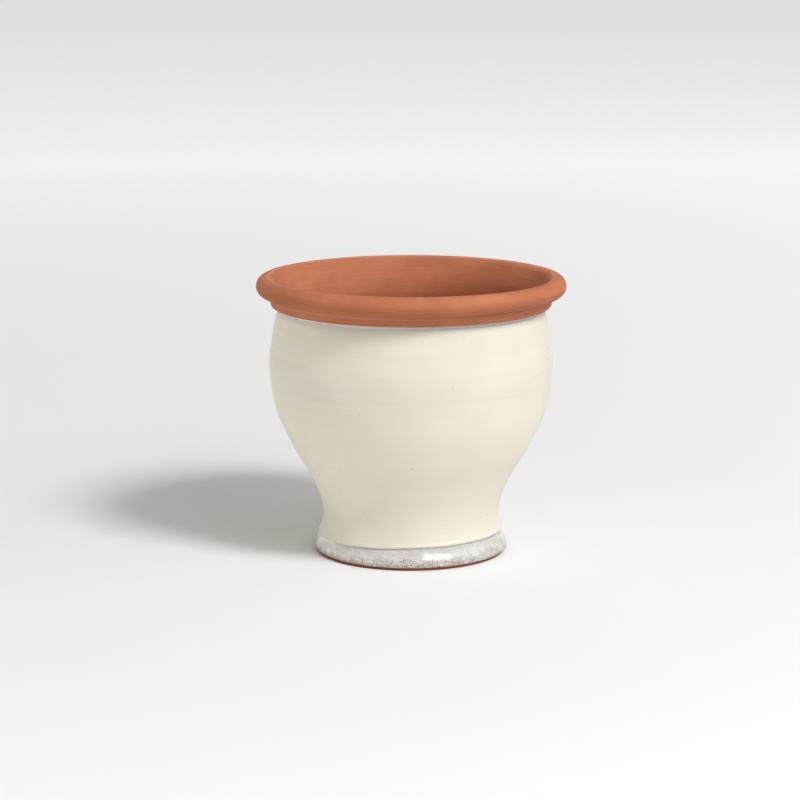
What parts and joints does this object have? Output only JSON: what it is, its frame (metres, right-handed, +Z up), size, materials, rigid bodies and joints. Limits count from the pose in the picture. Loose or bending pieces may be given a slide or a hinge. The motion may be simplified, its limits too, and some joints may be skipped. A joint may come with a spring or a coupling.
{
  "type": "terracotta planter",
  "caption": "Round wheel-thrown terracotta planter with a rolled rim, a short collar, a bell-shaped glazed wall, a rounded foot and a drain hole.",
  "frame": {"origin": "centre of the circle that the pot stands on, at the ground", "axes": "+Z up along the pot's axis; the pot is round, so X and Y are any two level directions at right angles"},
  "size_m": [0.25, 0.25, 0.2254],
  "materials": {
    "terracotta": "bare fired red clay, matte, with a fine grain and faint throwing lines",
    "grey_white_glaze": "glossy grey-white glaze with brown specks that get dense towards the base",
    "ivory_glaze": "satin ivory glaze with fine horizontal lines and a few pinholes"
  },
  "bodies": {
    "root": {"clay_body": "terracotta", "undercoat_glaze": "grey_white_glaze", "cream_glaze": "ivory_glaze"}
  },
  "joints": []
}
